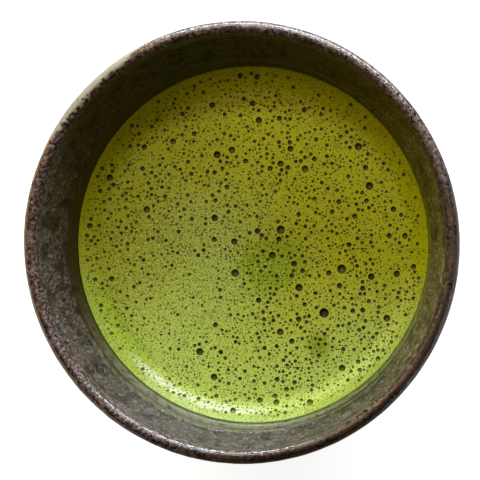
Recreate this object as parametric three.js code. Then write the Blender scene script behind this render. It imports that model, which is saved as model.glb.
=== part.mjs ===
// A matcha bowl (chawan) of glazed stoneware, filled with whisked tea.
// Millimetres, +Z up. The origin is the centre of the foot ring's resting face.
//
// The bowl is a thrown clay body with a separate foot ring luted into a seat under it. One glaze was
// poured inside, and one was dipped outside and laps over the lip. The tea lies inside, under its froth.

import {
  ArcCurve,
  CurvePath,
  Group,
  LatheGeometry,
  MathUtils,
  Mesh,
  MeshStandardMaterial,
  QuadraticBezierCurve,
  SplineCurve,
  Vector2,
} from "three";

// ---- Lip ----
const LIP_MIDDLE = new Vector2(58.2, 68.2); // radius and height of the clay lip's centre
const LIP_ROUND = 1.0; // radius of the clay lip's rounded edge
const INNER_WALL_LEAN = 19.5; // degrees from upright, where the inner wall meets the lip
const OUTER_WALL_LEAN = 6.3; // degrees from upright, where the outer wall meets the lip

// ---- Clay body, as radius and height ----
const INNER_WALL = [
  [0, 12.2], // the tea pool, a shallow dish in the floor where the last of the tea gathers
  [12, 12.4],
  [18.5, 13.5],
  [30, 16.6],
  [41, 25.5],
  [47.3, 38],
  [50.4, 50.5],
  [54.3, 60],
];
const OUTER_WALL = [
  [58.3, 60],
  [56.3, 48],
  [53, 36],
  [46.5, 24],
  [38, 14.8],
  [30.5, 8.2],
];
const BASE_HEIGHT = 7.0; // underside of the body, inside and outside the foot ring
const SEAT_DEPTH = 0.9; // the shallow groove that the foot ring is luted into

// ---- Foot ring ----
const FOOT_TOP = { inner: 20.3, outer: 28.3 };
const FOOT_WAIST = { inner: 20.7, outer: 27.8, height: 5.4 };
const FOOT_FACE = { inner: 22.2, outer: 26.2 }; // the flat band that the bowl stands on
const FOOT_EDGE_ROUND = 0.9; // softened edges on both sides of that band

// ---- Glaze, tea and froth ----
const GLAZE = 0.5; // thickness of a coat
const CLEARANCE = 0.3; // between two touching pieces
const LIP_LAP = 4.2; // how far the outer coat reaches down inside, from the middle of the lip
const GLAZE_LINE = 11.5; // bare clay left between the outer coat's lower edge and the base
const TEA_LEVEL = 44.8;
const FROTH_LEVEL = 48.6;
const FROTH_CLIMB = { rise: 1.3, reach: 4.5 }; // the froth's edge, where it creeps up the wall

// ---- Hand-thrown shape ----
const OVAL = { share: 0.006, towards: -48 }; // share of the radius, and degrees from +X
const LIP_WAVE = { rise: 0.45, turns: 2, towards: 20, from: 54, to: 67 }; // the lip rises and dips

// ---- Fineness ----
const ROUND_STEPS = 48;
const WALL_STEP = 5; // spacing of the outline's points along the walls
const LIP_STEP = 0.85; // and round the lip

const FINISHES = {
  clay: new MeshStandardMaterial({ color: 0x8a7763, roughness: 0.85, metalness: 0 }),
  innerGlaze: new MeshStandardMaterial({ color: 0x4a4234, roughness: 0.35, metalness: 0 }),
  outerGlaze: new MeshStandardMaterial({ color: 0x55483d, roughness: 0.3, metalness: 0 }),
  tea: new MeshStandardMaterial({ color: 0x5c6b12, roughness: 0.15, metalness: 0 }),
  froth: new MeshStandardMaterial({ color: 0xa3b02f, roughness: 0.55, metalness: 0 }),
};

const toVectors = (pairs) => pairs.map(([radius, height]) => new Vector2(radius, height));

// The clay's skin in section: from the middle of the floor, up the inner wall, over the lip and down the
// outer wall to the base.
function claySkin() {
  const innerAngle = Math.PI - MathUtils.degToRad(INNER_WALL_LEAN);
  const outerAngle = -MathUtils.degToRad(OUTER_WALL_LEAN);
  const lip = new ArcCurve(LIP_MIDDLE.x, LIP_MIDDLE.y, LIP_ROUND, innerAngle, outerAngle, true);
  const skin = new CurvePath();
  skin.add(new SplineCurve([...toVectors(INNER_WALL), lip.getPoint(0)]));
  skin.add(lip);
  skin.add(new SplineCurve([lip.getPoint(1), ...toVectors(OUTER_WALL)]));
  return skin;
}

const SKIN = claySkin();
const [INNER_END, LIP_END, SKIN_END] = SKIN.getCurveLengths();

// Distances along the skin from one place to another, close together round the lip.
function stations(from, to) {
  const breaks = [from, INNER_END, LIP_END, to].filter((d) => d >= from && d <= to);
  const found = [from];
  for (let i = 1; i < breaks.length; i += 1) {
    const [start, end] = [breaks[i - 1], breaks[i]];
    const onLip = start >= INNER_END && end <= LIP_END;
    const count = Math.max(1, Math.round((end - start) / (onLip ? LIP_STEP : WALL_STEP)));
    for (let n = 1; n <= count; n += 1) found.push(start + ((end - start) * n) / count);
  }
  return found;
}

// The skin between two distances, stood off from the clay. The middle of the floor stays on the axis.
function skinBetween(from, to, standOff) {
  return stations(from, to).map((distance) => {
    const along = Math.min(distance / SKIN_END, 1);
    const point = SKIN.getPointAt(along);
    const heading = SKIN.getTangentAt(along);
    const moved = new Vector2(point.x - heading.y * standOff, point.y + heading.x * standOff);
    if (distance === 0) moved.x = 0;
    return moved;
  });
}

// The part of the inner skin, from the middle of the floor, that lies below a height, and ends at it.
function basinBelow(height, standOff) {
  const outline = skinBetween(0, INNER_END, standOff);
  const above = outline.findIndex((point) => point.y > height);
  const [last, next] = [outline[above - 1], outline[above]];
  const edge = last.clone().lerp(next, (height - last.y) / (next.y - last.y));
  return [...outline.slice(0, above), edge];
}

// What the potter's hands leave: the bowl is a little oval, and its lip rises and dips.
function throwByHand(geometry) {
  const place = geometry.attributes.position;
  for (let i = 0; i < place.count; i += 1) {
    const [x, y, z] = [place.getX(i), place.getY(i), place.getZ(i)];
    const angle = Math.atan2(y, x);
    const stretch = 1 + OVAL.share * Math.cos(2 * (angle - MathUtils.degToRad(OVAL.towards)));
    const nearLip = MathUtils.smoothstep(z, LIP_WAVE.from, LIP_WAVE.to);
    const wave = Math.cos(LIP_WAVE.turns * (angle - MathUtils.degToRad(LIP_WAVE.towards)));
    place.setXYZ(i, x * stretch, y * stretch, z + LIP_WAVE.rise * wave * nearLip);
  }
  return geometry;
}

// A named piece turned about the bowl's axis. The outline has the material on its right as it runs.
function thrown(name, outline, finish) {
  const geometry = new LatheGeometry(outline, ROUND_STEPS).rotateX(Math.PI / 2);
  const mesh = new Mesh(throwByHand(geometry), finish);
  mesh.name = name;
  return mesh;
}

function clayBody() {
  const seatTop = BASE_HEIGHT + SEAT_DEPTH;
  const underside = toVectors([
    [FOOT_TOP.outer + 1.2, BASE_HEIGHT],
    [FOOT_TOP.outer + CLEARANCE, BASE_HEIGHT],
    [FOOT_TOP.outer + CLEARANCE, seatTop],
    [FOOT_TOP.inner - CLEARANCE, seatTop],
    [FOOT_TOP.inner - CLEARANCE, BASE_HEIGHT],
    [0, BASE_HEIGHT],
  ]);
  return thrown("clay_body", [...skinBetween(0, SKIN_END, 0), ...underside].reverse(), FINISHES.clay);
}

function footRing() {
  const top = BASE_HEIGHT + SEAT_DEPTH - CLEARANCE;
  const outerEdge = new QuadraticBezierCurve(
    new Vector2(FOOT_FACE.outer + FOOT_EDGE_ROUND, FOOT_EDGE_ROUND),
    new Vector2(FOOT_FACE.outer + FOOT_EDGE_ROUND, 0),
    new Vector2(FOOT_FACE.outer, 0),
  );
  const innerEdge = new QuadraticBezierCurve(
    new Vector2(FOOT_FACE.inner, 0),
    new Vector2(FOOT_FACE.inner - FOOT_EDGE_ROUND, 0),
    new Vector2(FOOT_FACE.inner - FOOT_EDGE_ROUND, FOOT_EDGE_ROUND),
  );
  const outline = [
    new Vector2(FOOT_TOP.inner, top),
    new Vector2(FOOT_TOP.outer, top),
    new Vector2(FOOT_WAIST.outer, FOOT_WAIST.height),
    ...outerEdge.getPoints(3),
    ...innerEdge.getPoints(3),
    new Vector2(FOOT_WAIST.inner, FOOT_WAIST.height),
    new Vector2(FOOT_TOP.inner, top),
  ];
  return thrown("foot_ring", outline.reverse(), FINISHES.clay);
}

// A coat of glaze over the skin between two distances.
function glazeCoat(name, from, to, finish) {
  const back = skinBetween(from, to, CLEARANCE);
  const front = skinBetween(from, to, CLEARANCE + GLAZE);
  const outline = [...back, ...front.reverse()];
  if (from > 0) outline.push(outline[0].clone());
  return thrown(name, outline, finish);
}

const basinStandOff = CLEARANCE + GLAZE + CLEARANCE;

function tea() {
  const outline = [...basinBelow(TEA_LEVEL, basinStandOff), new Vector2(0, TEA_LEVEL)];
  return thrown("tea", outline, FINISHES.tea);
}

function froth() {
  const underside = TEA_LEVEL + CLEARANCE;
  const basin = basinBelow(FROTH_LEVEL + FROTH_CLIMB.rise, basinStandOff);
  const wall = basin.filter((point) => point.y > underside);
  const edge = wall[wall.length - 1];
  const lowest = basinBelow(underside, basinStandOff).pop();
  const climb = new QuadraticBezierCurve(
    edge,
    new Vector2(edge.x - FROTH_CLIMB.reach * 0.25, FROTH_LEVEL),
    new Vector2(edge.x - FROTH_CLIMB.reach, FROTH_LEVEL),
  );
  const outline = [
    new Vector2(0, underside),
    lowest,
    ...wall.slice(0, -1),
    ...climb.getPoints(6),
    new Vector2(0, FROTH_LEVEL),
  ];
  return thrown("froth", outline, FINISHES.froth);
}

function matchaBowl() {
  const lap = (INNER_END + LIP_END) / 2 - LIP_LAP;
  const bowl = new Group();
  bowl.name = "matcha_bowl";
  bowl.add(
    clayBody(),
    footRing(),
    glazeCoat("inner_glaze", 0, lap - CLEARANCE, FINISHES.innerGlaze),
    glazeCoat("outer_glaze", lap, SKIN_END - GLAZE_LINE, FINISHES.outerGlaze),
    tea(),
    froth(),
  );
  return bowl;
}

export default matchaBowl();
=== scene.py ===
"""A matcha bowl: thrown, glazed stoneware filled with whisked tea, seen from almost straight above.

Shapes are worked out in millimetres and become metres once they are meshes. Lights and the camera are in
metres. +Z is up, and the origin is the middle of the foot's resting face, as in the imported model.
"""

import math
import random

import bpy
import numpy as np
from mathutils import Matrix, Vector, noise
from mathutils.geometry import delaunay_2d_cdt


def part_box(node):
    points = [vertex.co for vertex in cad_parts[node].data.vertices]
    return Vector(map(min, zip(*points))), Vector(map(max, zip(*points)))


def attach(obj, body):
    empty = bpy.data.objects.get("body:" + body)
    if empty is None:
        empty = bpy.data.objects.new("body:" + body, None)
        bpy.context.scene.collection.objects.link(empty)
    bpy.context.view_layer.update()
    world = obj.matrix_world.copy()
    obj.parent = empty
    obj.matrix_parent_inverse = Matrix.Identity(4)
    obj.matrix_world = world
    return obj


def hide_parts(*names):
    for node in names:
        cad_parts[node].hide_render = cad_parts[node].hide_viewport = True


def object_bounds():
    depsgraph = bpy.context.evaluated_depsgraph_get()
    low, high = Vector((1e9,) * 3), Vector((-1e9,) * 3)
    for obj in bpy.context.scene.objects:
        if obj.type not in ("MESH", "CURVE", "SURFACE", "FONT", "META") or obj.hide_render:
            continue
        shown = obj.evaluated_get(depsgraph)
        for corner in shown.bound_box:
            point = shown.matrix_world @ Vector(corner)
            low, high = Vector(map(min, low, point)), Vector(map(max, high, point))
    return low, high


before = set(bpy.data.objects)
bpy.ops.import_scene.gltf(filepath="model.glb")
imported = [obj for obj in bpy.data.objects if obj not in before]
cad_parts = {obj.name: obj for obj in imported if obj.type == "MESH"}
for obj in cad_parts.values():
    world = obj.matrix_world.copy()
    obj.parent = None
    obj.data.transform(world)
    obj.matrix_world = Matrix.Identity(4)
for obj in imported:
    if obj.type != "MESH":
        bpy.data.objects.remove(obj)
cad_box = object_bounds()

MM = 0.001
TURN = 2 * math.pi
rng = random.Random(17)

# ---------------------------------------------------------------- the bowl's section, in mm (radius, height)

LIP_MIDDLE = (58.2, 68.2)
LIP_ROUND = 1.0
INNER_WALL_LEAN = 19.5  # degrees from upright at the lip
OUTER_WALL_LEAN = 6.3
INNER_WALL = [
    (0, 12.2),
    (12, 12.4),
    (18.5, 13.5),
    (30, 16.6),
    (41, 25.5),
    (47.3, 38),
    (50.4, 50.5),
    (54.3, 60),
]
OUTER_WALL = [(58.3, 60), (56.3, 48), (53, 36), (46.5, 24), (38, 14.8), (30.5, 8.2)]
BASE_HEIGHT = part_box("clay_body")[0].z / MM
SEAT_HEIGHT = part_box("foot_ring")[1].z / MM
GLAZE_LINE = 11.5  # bare clay between the outer coat and the base, along the wall
LIP_LAP = 4.2  # how far the outer coat reaches down inside
CLEARANCE = 0.3  # between the clay and the back of a coat
GLAZE = 0.8  # from the clay to the front of a coat
LAP_TUCK = 0.3  # how far the poured coat sinks where it runs in under the dipped one
FROTH_RISE = 1.3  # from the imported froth's middle to its edge, which creeps up the wall
FROTH_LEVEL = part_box("froth")[1].z / MM - FROTH_RISE
FROTH_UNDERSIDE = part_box("froth")[0].z / MM
TEA_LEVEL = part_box("tea")[1].z / MM

OVAL = 0.006  # share of the radius
OVAL_TOWARDS = math.radians(-48)
LIP_WAVE = 0.45  # the lip's rise and dip
LIP_WAVE_TOWARDS = math.radians(20)
LIP_WAVE_FROM, LIP_WAVE_FULL = 54, 67  # heights where the wave starts, and where it is whole


def smooth_line(points, steps=24):
    """A curve through all of the points, as the thrower's hand would draw it."""
    knots = [points[0], *points, points[-1]]
    line = []
    for a, b, c, d in zip(knots, knots[1:], knots[2:], knots[3:]):
        a, b, c, d = (np.array(p, float) for p in (a, b, c, d))
        for t in np.arange(steps) / steps:
            bend = (2 * a - 5 * b + 4 * c - d) * t**2
            swing = (3 * b - a - 3 * c + d) * t**3
            line.append(0.5 * (2 * b + (c - a) * t + bend + swing))
    return [*line, np.array(points[-1], float)]


def lip_arc(steps=24):
    """The lip's rounded edge, from the inner wall to the outer wall."""
    start = math.pi - math.radians(INNER_WALL_LEAN)
    end = -math.radians(OUTER_WALL_LEAN)
    return [
        np.array((LIP_MIDDLE[0] + LIP_ROUND * math.cos(a), LIP_MIDDLE[1] + LIP_ROUND * math.sin(a)))
        for a in np.linspace(start, end, steps)
    ]


def clay_skin():
    """The clay's skin: up the inner wall, over the lip and down the outer wall.

    With it come each point's distance along it, and the distances where the lip starts and ends."""
    arc = lip_arc()
    inner = smooth_line([*INNER_WALL, arc[0]])
    outer = smooth_line([arc[-1], *OUTER_WALL])
    points = np.array([*inner[:-1], *arc[:-1], *outer])
    along = np.concatenate([[0], np.cumsum(np.linalg.norm(np.diff(points, axis=0), axis=1))])
    return points, along, along[len(inner) - 1], along[len(inner) + len(arc) - 2]


SKIN, ALONG, INNER_END, LIP_END = clay_skin()
SKIN_END = ALONG[-1]
CREST = (INNER_END + LIP_END) / 2  # the top of the lip
AXIS_GAP = 0.4  # where a coat's first row lies, just off the axis
HEADING = np.gradient(SKIN, ALONG, axis=0)
HEADING /= np.linalg.norm(HEADING, axis=1)[:, None]


def on_skin(distance, stand_off=0.0):
    """Radius and height, in mm, of places on the skin, stood off from the clay. Works on arrays."""
    radius = np.interp(distance, ALONG, SKIN[:, 0])
    height = np.interp(distance, ALONG, SKIN[:, 1])
    across = -np.interp(distance, ALONG, HEADING[:, 1])
    up = np.interp(distance, ALONG, HEADING[:, 0])
    return np.maximum(radius + across * stand_off, 0), height + up * stand_off


def basin_radius(height, stand_off=GLAZE):
    """Radius of the glazed basin at a height, in mm."""
    radii, heights = on_skin(np.linspace(0, INNER_END, 400), stand_off)
    return float(np.interp(height, heights, radii))


def thrown_by_hand(x, y, z):
    """The slight oval and the lip's rise and dip that hand throwing leaves, in mm. Works on arrays."""
    angle = np.arctan2(y, x)
    stretch = 1 + OVAL * np.cos(2 * (angle - OVAL_TOWARDS))
    share = np.clip((z - LIP_WAVE_FROM) / (LIP_WAVE_FULL - LIP_WAVE_FROM), 0, 1)
    lift = LIP_WAVE * np.cos(2 * (angle - LIP_WAVE_TOWARDS)) * share**2 * (3 - 2 * share)
    return x * stretch, y * stretch, z + lift


# ---------------------------------------------------------------- meshes


def mesh_piece(name, points, faces, body="root"):
    """A smooth-shaded piece from points in mm, riding on a body."""
    places = np.asarray(points) * MM
    corners = np.array([face[:3] for face in faces])
    a, b, c = (places[corners[:, i]] for i in range(3))
    if np.einsum("ij,ij->i", a, np.cross(b, c)).sum() < 0:
        faces = [face[::-1] for face in faces]
    mesh = bpy.data.meshes.new(name)
    mesh.from_pydata(places.tolist(), [], faces)
    mesh.shade_smooth()
    piece = bpy.data.objects.new(name, mesh)
    bpy.context.scene.collection.objects.link(piece)
    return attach(piece, body)


def turned(name, radius, height, closed, marks=None):
    """A turned piece. radius and height have a row for each step of the outline and a column for each angle.

    The outline is closed on itself, or runs from the axis to the axis. marks are arrays of the same shape
    that the material reads, such as how far a place is from the lip."""
    rows, columns = radius.shape
    angle = np.arange(columns) * TURN / columns
    x, y, z = thrown_by_hand(radius * np.cos(angle), radius * np.sin(angle), height)
    points = np.stack([x, y, z], axis=-1).reshape(-1, 3)
    index = np.arange(rows * columns).reshape(rows, columns)
    last = rows if closed else rows - 1
    here = index[np.arange(last)]
    there = index[(np.arange(last) + 1) % rows]
    quads = np.stack([here, np.roll(here, -1, 1), np.roll(there, -1, 1), there], axis=-1).reshape(-1, 4)
    faces = [tuple(quad) for quad in quads.tolist()]
    ends = []
    if not closed:
        for row, onward in ((0, 1), (rows - 1, -1)):
            pole = len(points) + len(ends)
            ends.append((0.0, 0.0, float(z[row].mean())))
            ring = index[row].tolist()
            for a, b in zip(ring, ring[1:] + ring[:1]):
                faces.append((pole, b, a) if onward == 1 else (pole, a, b))
    points = np.concatenate([points, np.array(ends).reshape(-1, 3)])
    piece = mesh_piece(name, points, faces)
    for mark, values in (marks or {}).items():
        flat = np.concatenate([values.reshape(-1), np.zeros(len(ends))])
        layer = piece.data.attributes.new(mark, "FLOAT", "POINT")
        layer.data.foreach_set("value", flat.astype(np.float32))
    return piece


def lumps(distance, angle, radius, size, seed):
    """Smooth noise from -1 to 1 over the bowl's skin, with lumps of that size in mm."""
    out = np.empty(distance.shape)
    x = radius * np.cos(angle) / size
    y = radius * np.sin(angle) / size
    d = distance / size
    for i in np.ndindex(distance.shape):
        out[i] = noise.noise((x[i] + seed, y[i], d[i]))
    return out


# ---------------------------------------------------------------- the fired bowl

COLUMNS = 640
ANGLE = np.arange(COLUMNS) * TURN / COLUMNS


def wander(angle, reach, waves, seed):
    """A line that wanders to about reach each way, in slow waves and quick ones, and closes on itself."""
    pick = random.Random(seed)
    return sum(reach / len(waves) ** 0.5 * np.sin(k * angle + pick.uniform(0, TURN)) for k in waves)


def ridges(height, angle, pitch, depth):
    """The spiral that the fingers leave as the wall is drawn up, uneven as a hand is."""
    uneven = 0.65 + 0.35 * np.sin(2 * angle + height / 5)
    return depth * uneven * np.sin(TURN * height / pitch - angle)


def fade(value, start, end):
    """0 before start, 1 after end, and smooth between them."""
    share = np.clip((value - start) / (end - start), 0, 1)
    return share**2 * (3 - 2 * share)


def rows_between(*stops):
    """Rows of places along the skin, from the first stop on.

    The first stop is a distance. A later one is a distance and how many rows lead to it."""
    before = stops[0] + 0 * ANGLE
    rows = [before[None]]
    for here, count in stops[1:]:
        share = np.arange(1, count + 1)[:, None] / count
        rows.append(before + (here - before) * share)
        before = here + 0 * ANGLE
    return np.concatenate(rows)


LAP_LINE = CREST - LIP_LAP + wander(ANGLE, 0.5, (2, 3, 5, 9, 16, 31), 4)
DIP_LINE = SKIN_END - GLAZE_LINE + wander(ANGLE, 1.5, (1, 2, 3, 5, 8, 13, 21), 9)


def inner_glaze_coat():
    """The poured coat. Above the tea it follows the throwing ridges, and it runs in under the outer coat."""
    end = LAP_LINE + 1.6
    under_tea, at_froth = 46.0, 62.0
    front = rows_between(AXIS_GAP, (under_tea, 24), (at_froth, 24), (end, 62))
    back = rows_between(end, (under_tea, 8), (AXIS_GAP, 12))
    angle = np.broadcast_to(ANGLE, front.shape)
    _, height = on_skin(front)
    risen = fade(height, 42, 50)
    relief = risen * ridges(height, angle, 3.1, 0.12) * (1 - 0.7 * fade(height, 56, 64))
    relief += risen * 0.07 * lumps(front, angle, 54, 2.6, 3.0)
    under_lap = fade(front, LAP_LINE - 0.4, LAP_LINE + 1.6)
    radius, height = on_skin(front, GLAZE + relief - LAP_TUCK * under_lap)
    back_radius, back_height = on_skin(back, CLEARANCE)
    return turned(
        "inner_glaze_coat",
        np.concatenate([radius, back_radius])[::-1],
        np.concatenate([height, back_height])[::-1],
        closed=False,
        marks={"from_crest": np.concatenate([front, back])[::-1] - CREST},
    )


def outer_glaze_coat():
    """The dipped coat: over the lip, down the outside, and into a rolled edge that beads above the foot."""
    past_lip = LIP_END + 1.0
    front = rows_between(LAP_LINE, (past_lip, 46), (SKIN_END - GLAZE_LINE - 8, 84), (DIP_LINE, 34))
    back = rows_between(DIP_LINE, (past_lip, 20), (LAP_LINE, 10))
    angle = np.broadcast_to(ANGLE, front.shape)
    _, height = on_skin(front)
    outside = fade(front, LIP_END, LIP_END + 8)
    relief = outside * ridges(height, angle, 4.4, 0.2)
    relief += 0.05 * lumps(front, angle, 59, 1.9, 11.0)
    relief += 0.06 * lumps(front, angle, 59, 7.0, 23.0)
    above_edge = DIP_LINE - front
    bead = 0.5 + 0.35 * np.sin(19 * angle + 3 * np.sin(2 * angle))
    relief += bead * np.exp(-(((above_edge - 1.5) / 1.3) ** 2))
    rolled = np.sqrt(np.clip(above_edge / 1.2, 0, 1))
    into_lap = fade(front, LAP_LINE, LAP_LINE + 2.6)
    thickness = (GLAZE + 0.06 + relief - CLEARANCE) * rolled * (0.55 + 0.45 * into_lap)
    radius, height = on_skin(front, CLEARANCE + thickness)
    over_poured_coat = 0.25 * (1 - fade(back, CREST - 2.2, CREST - 1.2))
    back_radius, back_height = on_skin(back, CLEARANCE + over_poured_coat)
    return turned(
        "outer_glaze_coat",
        np.concatenate([radius, back_radius])[::-1],
        np.concatenate([height, back_height])[::-1],
        closed=True,
        marks={
            "from_crest": np.concatenate([front, back])[::-1] - CREST,
            "above_edge": np.concatenate([above_edge, DIP_LINE - back])[::-1],
        },
    )


def thrown_body():
    """The clay: hidden under the glaze but for a bare band above the foot and the base inside the foot."""
    bare = SKIN_END - GLAZE_LINE - 5
    skin = rows_between(AXIS_GAP, (CREST, 40), (bare, 24), (SKIN_END, 46))
    angle = np.broadcast_to(ANGLE, skin.shape)
    _, height = on_skin(skin)
    turning = 0.05 * np.sin(TURN * height / 0.9 - angle) + 0.04 * lumps(skin, angle, 40, 0.9, 5.0)
    radius, height = on_skin(skin, turning * fade(skin, bare, bare + 2))
    base = np.linspace(30, 0.25, 110)[:, None] + 0 * ANGLE
    swirl = np.sin(TURN * base / 2.3 + ANGLE) * 0.16 * fade(base, 0.5, 3) * (1 - fade(base, 17, 20))
    button = 0.9 * np.exp(-((base / 2.2) ** 2))
    base_height = BASE_HEIGHT + swirl - button + 0.25 * fade(base, 20, 4)
    return turned(
        "thrown_body",
        np.concatenate([radius, base])[::-1],
        np.concatenate([height, base_height])[::-1],
        closed=False,
    )


def trimmed_foot():
    """The luted foot ring: tooled sides, a fillet into the body and a worn, softly rounded resting face."""
    inner_side = [(21.0, SEAT_HEIGHT), (20.3, 6.9), (20.8, 5.4), (21.2, 2.2), (21.4, 0.9), (21.9, 0.22)]
    resting_face = [(22.9, 0), (25.4, 0)]
    outer_side = [(26.3, 0.2), (26.9, 0.8), (27.2, 2.4), (27.7, 5.2), (28.5, 6.8)]
    fillet = [(29.6, 7.4), (29.2, SEAT_HEIGHT)]
    outline = smooth_line([*inner_side, *resting_face], 6) + smooth_line([*outer_side, *fillet], 8)
    outline = np.array(outline)
    radius = outline[:, :1] + 0 * ANGLE
    height = outline[:, 1:] + 0 * ANGLE
    side = fade(height, 0.4, 1.2)
    radius = radius + side * 0.07 * np.sin(TURN * height / 1.2 - ANGLE)
    radius = radius + 0.1 * lumps(height, np.broadcast_to(ANGLE, height.shape), 27, 2.4, 8.0) * side
    return turned("trimmed_foot", radius, height, closed=True)


# ---------------------------------------------------------------- the tea and its froth


def tea_fill():
    """The liquid, which fills the basin up to the froth."""
    stand_off = GLAZE + 0.05
    wall = np.linspace(0, INNER_END, 400)
    _, heights = on_skin(wall, stand_off)
    last = float(np.interp(TEA_LEVEL, heights, wall))
    radius, height = on_skin(np.linspace(AXIS_GAP, last, 60), stand_off)
    top = np.array([40.0, 20.0, 1.0])
    radius = np.concatenate([radius, top])[:, None] + 0 * ANGLE
    height = np.concatenate([height, 0 * top + TEA_LEVEL])[:, None] + 0 * ANGLE
    return turned("tea_fill", radius[::-1], height[::-1], closed=False)


# The few largest bubbles, as x, y and diameter in mm. The rest are scattered between them.
LARGE_BUBBLES = [
    (20, -19, 2.6),
    (25, -7, 2.5),
    (8, 4, 2.3),
    (-5, -8, 2.2),
    (33, 16, 2.1),
    (13, -12, 2),
    (-15, -30, 2),
    (30, 27, 2),
    (-10, 25, 2),
]

# Scattered bubbles from large to fine: how many, and the smallest and largest radius in mm.
SCATTERED = [(27, 0.76, 1.0), (75, 0.58, 0.76), (720, 0.37, 0.58), (2100, 0.24, 0.37), (2800, 0.16, 0.24)]
BUBBLE_DEPTH = 0.85  # of its radius
BUBBLE_SPREAD = 1.12  # a drawn bubble's outer ring, as a share of its radius
NEIGHBOUR_GAP = 0.03  # froth left between two bubbles, in mm

# How dark a bubble's window is, from 0 to 1, by its radius in mm: fine ones are filmed over. The dark is
# partly the tea seen through and partly painted shade in the well.
WINDOW_RADII = [0.16, 0.24, 0.37, 0.6]
WINDOW_TONES = [0.58, 0.74, 0.9, 1.0]

# How finely a bubble is drawn, by its least radius in mm: sides, and rings as shares of its radius and its
# depth, with how far inside the bubble the ring is.
ROUNDNESS = [
    (0.6, 18, [(1.07, -0.02, 0), (1.0, 0.14, 1), (0.9, 0.5, 1), (0.66, 0.86, 0.98), (0.3, 1.0, 0.93)]),
    (0.36, 12, [(1.09, 0, 0), (0.98, 0.14, 1), (0.62, 0.86, 0.97)]),
    (0.23, 8, [(1.12, 0, 0), (0.88, 0.35, 1)]),
    (0.0, 5, [(1.2, 0, 0)]),
]

FROTH_REACH = basin_radius(FROTH_LEVEL + FROTH_RISE)

# The skin between bubbles, in mm: a grid with a little jitter, and rings near the wall.
GRID_STEP = 0.95
GRID_JITTER = 0.2  # share of a step
GRID_MARGIN = 5
RIM_SIDES = 480
RIM_INSETS = (4.6, 3.9, 3.2, 2.6, 2.1, 1.6, 1.2, 0.85, 0.55, 0.25, 0.0)
RIM_OVERLAP = 0.08  # how far the froth wets into the wall

# The drawn froth's edge, in mm: how high it creeps up the wall, and how wide the creeping band is.
FROTH_CLIMB = 2.1
CLIMB_REACH = 6.5

LIT_BUBBLES_TOWARDS = math.radians(262)  # painted light: the side where bubbles near the edge are painted greener, as if lit


class Bubbles:
    """Round bubbles that don't touch, kept in 2 mm cells so that neighbours are found quickly."""

    CELL = 2.0

    def __init__(self):
        self.all = []
        self.cells = {}

    def near(self, x, y):
        column, row = int(x // self.CELL), int(y // self.CELL)
        for i in (column - 1, column, column + 1):
            for j in (row - 1, row, row + 1):
                yield from self.cells.get((i, j), ())

    def room_for(self, x, y, radius, gap):
        return all(
            math.hypot(x - bx, y - by) > radius * BUBBLE_SPREAD + br * BUBBLE_SPREAD + gap
            for bx, by, br in self.near(x, y)
        )

    def add(self, x, y, radius):
        bubble = (x, y, radius)
        self.all.append(bubble)
        self.cells.setdefault((int(x // self.CELL), int(y // self.CELL)), []).append(bubble)


def liveliness(x, y, size):
    """How likely a bubble is, from 0 to 1. Thick foam, the far edge and some streaks are calm."""
    patch = 0.5 + 0.5 * noise.noise((x / 9, y / 9, 2.0 + size))
    across = 1 - 0.78 * math.exp(-((x + 19) ** 2 + (y + 11) ** 2) / (2 * 15**2))
    across *= 1 - 0.6 * math.exp(-((x + 32) ** 2 + (y + 27) ** 2) / (2 * 10**2))
    edge = 1 - 0.7 * float(fade(math.hypot(x, y), 37, 46)) * max(0, math.cos(math.atan2(y, x) - 0.9))
    return (0.25 + 0.75 * patch) * (across if size > 0.3 else 0.5 + 0.5 * across) * edge


def scatter_bubbles():
    """The largest bubbles in their places, and the rest scattered from large to fine where there is room."""
    bubbles = Bubbles()
    for x, y, diameter in LARGE_BUBBLES:
        bubbles.add(x, y, diameter / 2)
    for count, least, most in SCATTERED:
        placed = 0
        while placed < count:
            radius = rng.uniform(least, most)
            angle = rng.uniform(0, TURN)
            out = (FROTH_REACH - 1.0 - radius) * math.sqrt(rng.random())
            x, y = out * math.cos(angle), out * math.sin(angle)
            if rng.random() < liveliness(x, y, radius) and bubbles.room_for(x, y, radius, NEIGHBOUR_GAP):
                bubbles.add(x, y, radius)
                placed += 1
    return bubbles


def froth_surface(x, y):
    """Height of the froth between its bubbles, in mm, creeping up the wall at its edge. Takes arrays."""
    out = np.hypot(x, y)
    climb = FROTH_CLIMB * np.clip((out - FROTH_REACH) / CLIMB_REACH + 1, 0, 1) ** 1.5
    swell = 0.03 * np.sin(x / 6.3 + 1.0) * np.sin(y / 7.9)
    return FROTH_LEVEL + FROTH_RISE - FROTH_CLIMB + climb + swell


def bubble_outline(bubble):
    """One bubble's points and how many sides it has. A point is x, y, depth and how far inside it is."""
    x, y, radius = bubble
    _, sides, rings = next(level for level in ROUNDNESS if radius >= level[0])
    depth = BUBBLE_DEPTH * radius
    start = rng.uniform(0, TURN)
    points = []
    for share, sunk, inside in rings:
        for side in range(sides):
            a = start + side * TURN / sides
            across, along = share * radius * math.cos(a), share * radius * math.sin(a)
            points.append((x + across, y + along, sunk * depth, inside))
    points.append((x, y, depth, rings[-1][2] or 1))
    return points, sides


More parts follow.
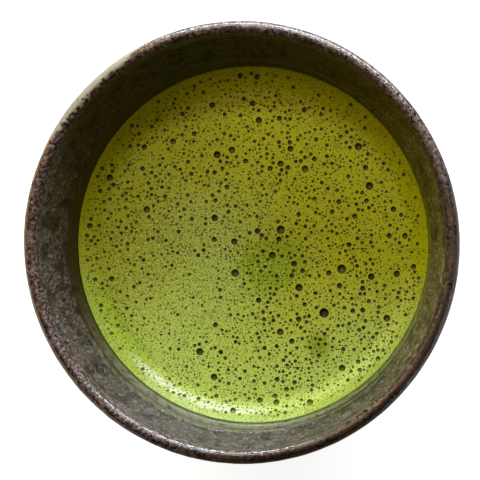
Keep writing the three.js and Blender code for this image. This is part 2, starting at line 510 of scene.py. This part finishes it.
def level_between_bubbles(piece, inside):
    """Shades the froth between bubbles by its own smooth slope, so that a well's wall doesn't tint it."""
    normals = np.empty(len(piece.data.vertices) * 3, np.float32)
    piece.data.vertex_normals.foreach_get("vector", normals)
    normals = normals.reshape(-1, 3)
    places = np.empty(len(normals) * 3, np.float32)
    piece.data.vertices.foreach_get("co", places)
    x, y = places.reshape(-1, 3)[:, 0] / MM, places.reshape(-1, 3)[:, 1] / MM
    step = 0.05
    uphill_x = (froth_surface(x + step, y) - froth_surface(x - step, y)) / (2 * step)
    uphill_y = (froth_surface(x, y + step) - froth_surface(x, y - step)) / (2 * step)
    level = np.stack([-uphill_x, -uphill_y, np.ones(len(x))], axis=-1)
    level /= np.linalg.norm(level, axis=1)[:, None]
    normals[inside == 0] = level[inside == 0]
    piece.data.normals_split_custom_set_from_vertices(normals)


def bubble_wells(bubbles):
    """Every bubble's points, the rings that join them, and how dark each point's window is."""
    places, joins, darkness = [], [], []
    for bubble in bubbles.all:
        points, sides = bubble_outline(bubble)
        first = len(places)
        places += points
        # a bubble's darkness, partly painted shade in its well
        tone = float(np.interp(bubble[2], WINDOW_RADII, WINDOW_TONES)) * rng.uniform(0.85, 1.0)
        darkness += [tone] * len(points)
        for ring in range((len(points) - 1) // sides):
            base = first + ring * sides
            joins += [(base + side, base + (side + 1) % sides) for side in range(sides)]
    return places, joins, darkness


def froth_between(bubbles):
    """Points of the skin between the bubbles. The last ring of RIM_SIDES points is the froth's outline."""
    places = []
    span = int(FROTH_REACH / GRID_STEP) + 1
    for i in range(-span, span + 1):
        for j in range(-span, span + 1):
            x = (i + 0.5 * (j % 2) + rng.uniform(-GRID_JITTER, GRID_JITTER)) * GRID_STEP
            y = (j + rng.uniform(-GRID_JITTER, GRID_JITTER)) * GRID_STEP
            if math.hypot(x, y) < FROTH_REACH - GRID_MARGIN and bubbles.room_for(x, y, 0.1, 0):
                places.append((x, y, 0.0, 0.0))
    for inset in RIM_INSETS:
        for side in range(RIM_SIDES):
            a = (side + 0.5 * (inset > 0)) * TURN / RIM_SIDES
            out = FROTH_REACH + RIM_OVERLAP - inset
            x, y = out * math.cos(a), out * math.sin(a)
            if inset == 0 or bubbles.room_for(x, y, 0.05, 0):
                places.append((x, y, 0.0, 0.0))
    return places


def froth_layer():
    """The froth: a skin with every bubble sunk into it as a round well, over a plain side and underside."""
    bubbles = scatter_bubbles()
    places, joins, darkness = bubble_wells(bubbles)
    places += froth_between(bubbles)
    darkness += [1.0] * (len(places) - len(darkness))
    rim = list(range(len(places) - RIM_SIDES, len(places)))
    joins += [(a, b) for a, b in zip(rim, rim[1:] + rim[:1])]

    flat = [Vector(place[:2]) for place in places]
    _, _, faces, sources, _, _ = delaunay_2d_cdt(flat, joins, [], 0, 1e-7, True)
    came_from = [source[0] for source in sources]
    given = np.array(places)[came_from]
    x, y = given[:, 0], given[:, 1]
    x, y, z = thrown_by_hand(x, y, froth_surface(x, y) - given[:, 2])
    points = np.stack([x, y, z], axis=-1).tolist()
    inside = (given[:, 3] * np.array(darkness)[came_from]).tolist()

    where = {source: place for place, source in enumerate(came_from)}
    top = [where[i] for i in rim]
    under = [len(points) + i for i in range(RIM_SIDES)]
    low = basin_radius(FROTH_UNDERSIDE, GLAZE - 0.05)
    for side in range(RIM_SIDES):
        a = side * TURN / RIM_SIDES
        points.append(thrown_by_hand(low * math.cos(a), low * math.sin(a), FROTH_UNDERSIDE))
    points.append((0, 0, FROTH_UNDERSIDE))
    inside += [0.0] * (RIM_SIDES + 1)
    faces = [tuple(face) for face in faces]
    for side in range(RIM_SIDES):
        onward = (side + 1) % RIM_SIDES
        faces.append((top[side], under[side], under[onward], top[onward]))
        faces.append((under[side], len(points) - 1, under[onward]))
    piece = mesh_piece("froth_layer", points, faces)
    level_between_bubbles(piece, np.concatenate([given[:, 3], np.ones(RIM_SIDES + 1)]))
    x, y = np.array([point[:2] for point in points]).T
    # painted light: bubbles near the edge on the lit side get a greener window
    lit = 0.5 + 0.5 * np.cos(np.arctan2(y, x) - LIT_BUBBLES_TOWARDS)
    painted_lit_bubbles = fade(np.hypot(x, y), FROTH_REACH - 13, FROTH_REACH - 6) * (0.05 + 0.95 * lit**4)
    for mark, values in (("inside_bubble", inside), ("painted_lit_bubbles", painted_lit_bubbles)):
        layer = piece.data.attributes.new(mark, "FLOAT", "POINT")
        layer.data.foreach_set("value", np.array(values, np.float32))
    return piece


# ---------------------------------------------------------------- finishes


def linear(colour):
    """An sRGB hex colour as linear red, green, blue and alpha."""
    parts = [int(colour[i : i + 2], 16) / 255 for i in (1, 3, 5)]
    return (*(p / 12.92 if p <= 0.04045 else ((p + 0.055) / 1.055) ** 2.4 for p in parts), 1.0)


def per(size_mm):
    """The texture scale that repeats about once in that many millimetres."""
    return 1 / (size_mm * MM)


def add(tree, kind, inputs=None, out=0, **settings):
    """Adds a node with its settings, links or fills its inputs, and returns one of its outputs."""
    made = tree.nodes.new("ShaderNode" + kind)
    for setting, value in settings.items():
        setattr(made, setting, value)
    for name, value in (inputs or {}).items():
        if isinstance(value, bpy.types.NodeSocket):
            tree.links.new(value, made.inputs[name])
        else:
            made.inputs[name].default_value = value
    return made.outputs[out] if made.outputs else made


def material(name, build):
    """A material whose surface is what build(tree, place) returns. place is the position, in metres."""
    made = bpy.data.materials.new(name)
    made.use_nodes = True
    tree = made.node_tree
    tree.nodes.clear()
    place = add(tree, "TexCoord", out="Object")
    add(tree, "OutputMaterial", {"Surface": build(tree, place)})
    return made


def between(tree, value, start, end):
    """A mask that rises smoothly from 0 at start to 1 at end, or falls if end is the lower."""
    low, high = (0, 1) if start < end else (1, 0)
    inputs = {"Value": value, "To Min": low, "To Max": high}
    inputs |= {"From Min": min(start, end), "From Max": max(start, end)}
    return add(tree, "MapRange", inputs, interpolation_type="SMOOTHSTEP")


def times(tree, *masks):
    """The product of masks."""
    product = masks[0]
    for mask in masks[1:]:
        product = add(tree, "Math", {0: product, 1: mask}, operation="MULTIPLY")
    return product


def blend(tree, share, under, over):
    """One colour laid over another."""
    return add(tree, "MixRGB", {"Fac": share, "Color1": under, "Color2": over})


def facing(tree, place, degrees):
    """1 on the side of the bowl at that bearing from +X, and -1 on the far side."""
    flat = add(tree, "VectorMath", {0: place, 1: (1, 1, 0)}, operation="MULTIPLY")
    outward = add(tree, "VectorMath", {0: flat}, operation="NORMALIZE")
    towards = (math.cos(math.radians(degrees)), math.sin(math.radians(degrees)), 0)
    return add(tree, "VectorMath", {0: outward, 1: towards}, out="Value", operation="DOT_PRODUCT")


def wrinkled(tree, place, size_mm):
    """A glaze skin that crystals wrinkled as it cooled: noise of about that size, and its raised folds."""
    skin = add(tree, "TexNoise", {"Vector": place, "Scale": per(size_mm), "Detail": 3.0, "Roughness": 0.6})
    middle = add(tree, "Math", {0: skin, 1: 0.5}, operation="SUBTRACT")
    folds = between(tree, add(tree, "Math", {0: middle}, operation="ABSOLUTE"), 0.05, 0.0)
    relief = add(tree, "Math", {0: folds, 1: 0.35, 2: skin}, operation="MULTIPLY_ADD")
    return skin, folds, relief


def dipped_glaze(tree, place):
    """Iron-saturated stoneware glaze. It pools black-brown, breaks ochre where it runs thin, and grows
    lilac-grey crystals on the lip that stand up a little, so highlights on it are broken into specks."""
    crest = add(tree, "Attribute", out="Fac", attribute_name="from_crest")
    edge = add(tree, "Attribute", out="Fac", attribute_name="above_edge")
    skin, folds, relief = wrinkled(tree, place, 1.4)
    crystals = add(tree, "TexNoise", {"Vector": place, "Scale": per(1.0), "Detail": 3.0, "Roughness": 0.6})
    freckles = add(tree, "TexNoise", {"Vector": place, "Scale": per(1.3), "Detail": 2.0, "Roughness": 0.6})
    cloud = add(tree, "TexNoise", {"Vector": place, "Scale": per(9), "Detail": 2.0})
    left = facing(tree, place, 178)
    right = between(tree, facing(tree, place, -8), 0.15, 0.75)

    colour = blend(tree, between(tree, cloud, 0.4, 0.62), linear("#1f1513"), linear("#2f221b"))
    on_top = times(tree, between(tree, crest, -5.0, -3.0), between(tree, crest, 2.2, 0.6))
    fewer = times(tree, between(tree, facing(tree, place, -42), 0.3, 0.8), 0.9)
    plain = add(tree, "Math", {0: 1.0, 1: fewer}, operation="SUBTRACT")
    share = add(tree, "Math", {0: on_top, 1: 0.42, 2: 0.14}, operation="MULTIPLY_ADD")
    share = times(tree, between(tree, crystals, 0.48, 0.62), share, plain)
    colour = blend(tree, share, colour, linear("#7c6c70"))
    colour = blend(tree, times(tree, folds, 0.2), colour, linear("#6b5c58"))

    shoulder = times(tree, between(tree, crest, 0.1, 0.5), between(tree, crest, 5.0, 2.4))
    ochre = times(tree, shoulder, between(tree, left, 0.3, 0.8), between(tree, skin, 0.33, 0.53))
    colour = blend(tree, ochre, colour, linear("#7f6438"))
    inner_lip = times(tree, between(tree, crest, -5.5, -3.4), between(tree, crest, 0.2, -1.0))
    browned = times(tree, inner_lip, right, between(tree, skin, 0.4, 0.54))
    colour = blend(tree, browned, colour, linear("#362b20"))
    freckled = times(tree, inner_lip, right, between(tree, freckles, 0.54, 0.62), 0.8)
    colour = blend(tree, freckled, colour, linear("#62553a"))
    colour = blend(tree, times(tree, between(tree, edge, 3.5, 0.6), 0.8), colour, linear("#6a4226"))
    # painted reflection: a pale patch on the upper-left side of the lip
    colour = blend(tree, pale_reflection_patch(tree, place, crest), colour, linear("#7c7969"))

    inputs = {"Value": crystals, "From Min": 0.4, "From Max": 0.62, "To Min": 0.1, "To Max": 0.24}
    rough = add(tree, "MapRange", inputs)
    below_lip = between(tree, crest, -2.4, -3.6)
    rough = add(tree, "Math", {0: below_lip, 1: 0.3, 2: rough}, operation="MULTIPLY_ADD")
    bump = add(tree, "Bump", {"Height": relief, "Strength": 0.36, "Distance": 0.4 * MM})
    inputs = {"Base Color": colour, "Roughness": rough, "Normal": bump, "IOR": 1.52}
    return add(tree, "BsdfPrincipled", inputs)


def pale_reflection_patch(tree, place, crest):
    """A painted reflection: a pale patch on one side of the lip that reaches down outside, with a ragged
    upper edge.
    """
    ragged = add(tree, "TexNoise", {"Vector": place, "Scale": per(2.0), "Detail": 3.0, "Roughness": 0.7})
    reach = add(tree, "Math", {0: ragged, 1: 3.6, 2: crest}, operation="MULTIPLY_ADD")
    reach = add(tree, "Math", {0: facing(tree, place, 135), 1: 20.0, 2: reach}, operation="MULTIPLY_ADD")
    top = between(tree, reach, 21.15, 21.32)
    run = add(tree, "TexNoise", {"Vector": place, "Scale": per(7), "Detail": 1.0})
    length = add(tree, "Math", {0: run, 1: -44.0, 2: crest}, operation="MULTIPLY_ADD")
    bottom = between(tree, length, -6.0, -7.5)
    return times(tree, top, bottom)


def poured_glaze(tree, place):
    """The same iron glaze, poured and thinner. Just above the froth it is wet and glossy, and a pale band
    there is a painted reflection of the froth, paler on the near side; higher up it is wrinkled and duller."""
    height = add(tree, "SeparateXYZ", {0: place}, out="Z")
    right = between(tree, facing(tree, place, 8), 0.55, 0.97)
    from_middle = add(tree, "Math", {0: height, 1: 60 * MM}, operation="SUBTRACT")
    run = add(tree, "MapRange", {"Value": right, "To Min": 0.75, "To Max": 0.3})
    ran = add(tree, "CombineXYZ", {"Z": times(tree, from_middle, run)})
    ran = add(tree, "VectorMath", {0: place, 1: (1, 1, 0), 2: ran}, operation="MULTIPLY_ADD")
    skin, folds, relief = wrinkled(tree, ran, 1.9)
    drift = add(tree, "TexNoise", {"Vector": place, "Scale": per(11), "Detail": 2.0})
    level = add(tree, "Math", {0: drift, 1: 4 * MM, 2: height}, operation="MULTIPLY_ADD")
    level = add(tree, "Math", {0: right, 1: 2.2 * MM, 2: level}, operation="MULTIPLY_ADD")
    dry = between(tree, level, (FROTH_LEVEL + 8.2) * MM, (FROTH_LEVEL + 9.8) * MM)
    low_level = add(tree, "Math", {0: drift, 1: 1.2 * MM, 2: height}, operation="MULTIPLY_ADD")
    # painted reflection: a pale band just above the froth, where the glossy wall mirrors it
    reflection_band = between(tree, low_level, (FROTH_LEVEL + 6.6) * MM, (FROTH_LEVEL + 5.8) * MM)
    near = between(tree, facing(tree, place, 290), -0.2, 0.5)

    blotch = add(tree, "TexNoise", {"Vector": ran, "Scale": per(4), "Detail": 3.0, "Roughness": 0.6})
    colour = blend(tree, between(tree, blotch, 0.4, 0.6), linear("#170a0f"), linear("#2e1e20"))
    # lighter ochre on the right wall: partly the glaze's own tone and partly painted light
    colour = blend(tree, times(tree, right, between(tree, blotch, 0.3, 0.6), 0.8), colour, linear("#4f432a"))
    left = between(tree, facing(tree, place, 205), 0.3, 0.9)
    browned = times(tree, left, between(tree, blotch, 0.34, 0.5), dry, 0.6)
    colour = blend(tree, browned, colour, linear("#41352f"))
    raised = times(tree, folds, between(tree, blotch, 0.38, 0.54), dry)
    cool = between(tree, facing(tree, place, 238), 0.2, 0.8)
    pits = times(tree, left, between(tree, skin, 0.46, 0.36), dry, 0.85)
    colour = blend(tree, pits, colour, linear("#150e0c"))
    fold_colour = blend(tree, cool, linear("#64584a"), linear("#5e5b5b"))
    # brighter folds on the right wall: partly the glaze's own tone and partly painted light
    colour = blend(tree, raised, colour, blend(tree, right, fold_colour, linear("#9a8e66")))
    streaks = add(tree, "TexNoise", {"Vector": place, "Scale": per(1.8), "Detail": 2.0})
    # the pale band is a painted reflection of the froth, paler on the near side where light falls
    pale = times(tree, reflection_band, between(tree, streaks, 0.2, 0.6))
    colour = blend(tree, pale, colour, blend(tree, near, linear("#2e2218"), linear("#545641")))
    # painted reflection: a green line of the froth mirrored in the wall above the pale band, on the near
    # side
    painted_reflection_line = times(
        tree,
        between(tree, low_level, (FROTH_LEVEL + 7.3) * MM, (FROTH_LEVEL + 7.8) * MM),
        between(tree, low_level, (FROTH_LEVEL + 9.0) * MM, (FROTH_LEVEL + 8.4) * MM),
        between(tree, streaks, 0.3, 0.6),
        near,
        0.7,
    )
    colour = blend(tree, painted_reflection_line, colour, linear("#586038"))
    # painted shade: a dark line on the wall just above the froth, where the two meet
    contact_shade = between(tree, height, (FROTH_LEVEL + 2.6) * MM, (FROTH_LEVEL + 2.0) * MM)
    contact_shade_colour = blend(tree, near, linear("#0f0b06"), linear("#252810"))
    colour = blend(tree, times(tree, contact_shade, 0.8), colour, contact_shade_colour)

    rough = add(tree, "MapRange", {"Value": dry, "To Min": 0.12, "To Max": 0.22})
    crest = add(tree, "Attribute", out="Fac", attribute_name="from_crest")
    at_lap = between(tree, crest, -6.0, -4.6)
    rough = add(tree, "Math", {0: at_lap, 1: 0.14, 2: rough}, operation="MULTIPLY_ADD")
    bump = add(tree, "Bump", {"Height": relief, "Strength": dry, "Distance": 0.85 * MM})
    inputs = {"Base Color": colour, "Roughness": rough, "Normal": bump, "IOR": 1.52}
    return add(tree, "BsdfPrincipled", inputs)


def bare_stoneware(tree, place):
    """Unglazed iron-bearing stoneware, toasted brown in the kiln: matte, gritty, with dark iron specks."""
    grit = add(tree, "TexNoise", {"Vector": place, "Scale": per(0.7), "Detail": 3.0, "Roughness": 0.65})
    cloud = add(tree, "TexNoise", {"Vector": place, "Scale": per(14), "Detail": 2.0})
    specks = add(tree, "TexVoronoi", {"Vector": place, "Scale": per(2.4), "Randomness": 1.0})
    colour = blend(tree, between(tree, cloud, 0.35, 0.65), linear("#7d6249"), linear("#98795a"))
    colour = blend(tree, times(tree, between(tree, grit, 0.42, 0.6), 0.35), colour, linear("#5d4534"))
    colour = blend(tree, between(tree, specks, 0.17, 0.1), colour, linear("#2b1d15"))
    bump = add(tree, "Bump", {"Height": grit, "Strength": 0.6, "Distance": 0.35 * MM})
    return add(tree, "BsdfPrincipled", {"Base Color": colour, "Roughness": 0.86, "Normal": bump, "IOR": 1.5})


def froth_patch(tree, flat, cloud, x, y, inner, outer, ragged):
    """A patch of froth round a place in mm: 1 inside and 0 outside. The cloud makes its edge ragged."""
    away = add(tree, "VectorMath", {0: flat, 1: (x * MM, y * MM, 0)}, out="Value", operation="DISTANCE")
    away = add(tree, "Math", {0: cloud, 1: -ragged * MM, 2: away}, operation="MULTIPLY_ADD")
    return between(tree, away, outer * MM, inner * MM)


def whisked_froth(tree, place):
    """Matcha froth: powdered leaf in thin walls of water round air. Thick, fine foam scatters more light and
    is paler, thin foam is a deeper yellow green, and a bubble is a dark window onto the tea, darkened partly
    with painted shade. On the near, lit side, painted light greens the bubbles and paints sheen and
    sparkling highlights on the froth."""
    inside = add(tree, "Attribute", out="Fac", attribute_name="inside_bubble")
    painted_lit_bubbles = add(tree, "Attribute", out="Fac", attribute_name="painted_lit_bubbles")
    flat = add(tree, "VectorMath", {0: place, 1: (1, 1, 0)}, operation="MULTIPLY")
    out = add(tree, "VectorMath", {0: flat}, out="Value", operation="LENGTH")
    cloud = add(tree, "TexNoise", {"Vector": flat, "Scale": per(13), "Detail": 3.0, "Roughness": 0.55})
    thick = froth_patch(tree, flat, cloud, -17, -9, -2, 26, 26)
    thick = times(tree, thick, between(tree, out, 46 * MM, 40 * MM))
    thin = froth_patch(tree, flat, cloud, 5.5, -5, -2, 5, 14)
    small_thin = froth_patch(tree, flat, cloud, 19, -28, -3, 1, 8)

    # paler towards the near, lit side: partly paler foam and partly a painted sheen of the light
    near = between(tree, facing(tree, place, 264), -0.05, 0.75)
    near = times(tree, near, between(tree, out, 12 * MM, 46 * MM))
    colour = blend(tree, thick, linear("#9fa90e"), linear("#98b04c"))
    colour = blend(tree, near, colour, linear("#a9c55f"))
    colour = blend(tree, thin, colour, linear("#80990a"))
    colour = blend(tree, times(tree, small_thin, 0.8), colour, linear("#75900a"))
    # darker towards the upper left
    darker_upper_left = between(tree, facing(tree, place, 156), 0.3, 0.9)
    darker_upper_left = times(tree, darker_upper_left, between(tree, out, 12 * MM, 36 * MM), 0.6)
    colour = blend(tree, darker_upper_left, colour, linear("#858f0c"))
    lime = between(tree, facing(tree, place, 211), 0.92, 0.985)
    lime = times(tree, lime, between(tree, out, 39 * MM, 45 * MM), 0.7)
    colour = blend(tree, lime, colour, linear("#82a818"))
    # painted shade: darker where the froth meets the wall on the near side
    rim = times(tree, between(tree, out, 45.8 * MM, 48.0 * MM), near, 0.85)
    colour = blend(tree, rim, colour, linear("#87a23a"))
    inputs = {"Vector": flat, "Scale": per(0.62), "Randomness": 1.0}
    pores = add(tree, "TexVoronoi", inputs, voronoi_dimensions="2D")
    spread = add(tree, "Math", {0: pores.node.outputs["Color"], 1: -0.5, 2: pores}, operation="MULTIPLY_ADD")
    open_pores = between(tree, spread, 0.03, -0.1)
    colour = blend(tree, times(tree, between(tree, pores, 0.45, 0.8), thick, 0.5), colour, linear("#bccb6c"))
    colour = blend(tree, times(tree, open_pores, 0.66), colour, linear("#535a0c"))
    # painted highlight: pale specks along the froth's near edge, where light glints on the wet meniscus
    sparkle = add(tree, "TexNoise", {"Vector": flat, "Scale": per(0.6), "Detail": 2.0, "Roughness": 0.7})
    painted_highlight_band = times(tree, between(tree, out, 44.6 * MM, 45.3 * MM), between(tree, out, 47.6 * MM, 46.2 * MM))
    painted_highlight_band = times(tree, painted_highlight_band, between(tree, facing(tree, place, 249), 0.86, 0.97))
    painted_highlight_band = times(tree, painted_highlight_band, between(tree, sparkle, 0.43, 0.54))
    colour = blend(tree, painted_highlight_band, colour, linear("#c9d6bf"))
    # a bubble's window: dark with painted shade, and greener with painted light on the lit side
    window = blend(tree, painted_lit_bubbles, linear("#17150a"), linear("#5f7412"))
    colour = blend(tree, inside, colour, window)

    wet = between(tree, out, (FROTH_REACH - 7) * MM, (FROTH_REACH - 4) * MM)
    rough = add(tree, "MapRange", {"Value": wet, "To Min": 0.34, "To Max": 0.13})
    rough = add(tree, "Math", {0: inside, 1: 0.4, 2: rough}, operation="MULTIPLY_ADD")
    bump = add(tree, "Bump", {"Height": pores, "Strength": 0.35, "Distance": 0.15 * MM})
    inputs = {"Base Color": colour, "Roughness": rough, "Normal": bump, "IOR": 1.4}
    return add(tree, "BsdfPrincipled", inputs)


def thin_tea(tree, place):
    """The liquid: water clouded with fine green leaf."""
    cloud = add(tree, "TexNoise", {"Vector": place, "Scale": per(16), "Detail": 2.0})
    colour = blend(tree, cloud, linear("#4c5a0c"), linear("#5f6f12"))
    return add(tree, "BsdfPrincipled", {"Base Color": colour, "Roughness": 0.06, "IOR": 1.33})


# ---------------------------------------------------------------- the stage


def pale_floor():
    """A pale sheet. It glows to the camera only, so that shadows on it stay soft, and lights nothing."""
    half = 1.5
    corners = [(-half, -half, 0), (half, -half, 0), (half, half, 0), (-half, half, 0)]
    mesh = bpy.data.meshes.new("floor")
    mesh.from_pydata(corners, [], [(0, 1, 2, 3)])
    floor = bpy.data.objects.new("floor", mesh)
    bpy.context.scene.collection.objects.link(floor)

    def paper(tree, place):
        glow = times(tree, add(tree, "LightPath", out="Is Camera Ray"), 0.9)
        inputs = {"Base Color": linear("#a8a8a8"), "Roughness": 0.9}
        inputs |= {"Emission Color": (1, 1, 1, 1), "Emission Strength": glow}
        return add(tree, "BsdfPrincipled", inputs)

    mesh.materials.append(material("pale_paper", paper))


def softbox(name, bearing, height, away, width, tall, watts, colour):
    """A soft light that faces the lip's middle, from a bearing and a height in degrees and a distance."""
    lamp = bpy.data.lights.new(name, "AREA")
    lamp.shape = "RECTANGLE"
    lamp.size, lamp.size_y = width, tall
    lamp.energy = watts
    lamp.color = linear(colour)[:3]
    box = bpy.data.objects.new(name, lamp)
    bpy.context.scene.collection.objects.link(box)
    turn, rise = math.radians(bearing), math.radians(height)
    towards = Vector((math.cos(turn) * math.cos(rise), math.sin(turn) * math.cos(rise), math.sin(rise)))
    box.location = Vector((0, 0, cad_box[1].z)) + towards * away
    box.rotation_euler = towards.to_track_quat("Z", "Y").to_euler()
    box.visible_camera = False


def studio():
    """A wide, low, cool window behind the bowl, so that the back wall shades half of the tea, and warm fill
    from above. A thin glint runs along the nearest part of the lip, and two strips below the lip light the
    outside and not the inside."""
    softbox("window", 86, 13, 0.75, 0.95, 0.2, 22, "#eef6ff")
    softbox("fill_left", 130, 50, 0.8, 0.5, 0.4, 2.4, "#ffdb97")
    softbox("fill_right", 50, 60, 0.8, 0.5, 0.4, 1.6, "#ffdb97")
    softbox("glint", 92, 45, 0.75, 0.36, 0.07, 2.3, "#eef2ff")
    for name, bearing in (("strip_left", 209), ("strip_right", 331)):
        softbox(name, bearing, -3, 0.6, 0.5, 0.06, 0.75, "#ffffff")

    world = bpy.data.worlds.new("studio_air")
    bpy.context.scene.world = world
    world.use_nodes = True
    tree = world.node_tree
    tree.nodes.clear()
    seen = add(tree, "LightPath", out="Is Camera Ray")
    dim = add(tree, "Background", {"Color": linear("#ffe0a0"), "Strength": 0.05})
    bright = add(tree, "Background", {"Color": (1, 1, 1, 1), "Strength": 0.85})
    add(tree, "OutputWorld", {"Surface": add(tree, "MixShader", {0: seen, 1: dim, 2: bright})})


def camera():
    """Almost straight above, leaning a little towards +X, with +Y up in the picture."""
    rim = Vector((0, 0, cad_box[1].z))
    lean, bearing, away = math.radians(11.1), math.radians(-11), 0.75
    half_picture = 0.06483  # half of what the picture spans at the lip
    offset = Vector((math.sin(lean) * math.cos(bearing), math.sin(lean) * math.sin(bearing), math.cos(lean)))
    aim = rim + Vector((0.0008, 0.0004, 0))
    lens = bpy.data.cameras.new("camera")
    lens.sensor_width = 36
    lens.angle = 2 * math.atan(half_picture / away)
    lens.clip_start = 0.01
    eye = bpy.data.objects.new("camera", lens)
    bpy.context.scene.collection.objects.link(eye)
    backward = offset.normalized()
    right = Vector((0, 1, 0)).cross(backward).normalized()
    up = backward.cross(right)
    rotation = Matrix((right, up, backward)).transposed()
    eye.matrix_world = Matrix.Translation(aim + backward * away) @ rotation.to_4x4()
    bpy.context.scene.camera = eye


# ---------------------------------------------------------------- the parts, and what each one stands for

bpy.context.scene.view_settings.view_transform = "Standard"
camera()
pale_floor()
studio()

PIECES = [
    (thrown_body, "clay_body", "stoneware", bare_stoneware),
    (trimmed_foot, "foot_ring", "stoneware", bare_stoneware),
    (inner_glaze_coat, "inner_glaze", "inner_glaze", poured_glaze),
    (outer_glaze_coat, "outer_glaze", "outer_glaze", dipped_glaze),
    (tea_fill, "tea", "tea", thin_tea),
    (froth_layer, "froth", "froth", whisked_froth),
]
for build, node_name, slot_name, finish in PIECES:
    piece = build()
    made = bpy.data.materials.get(finish.__name__) or material(finish.__name__, finish)
    piece.data.materials.append(made)
    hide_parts(node_name)
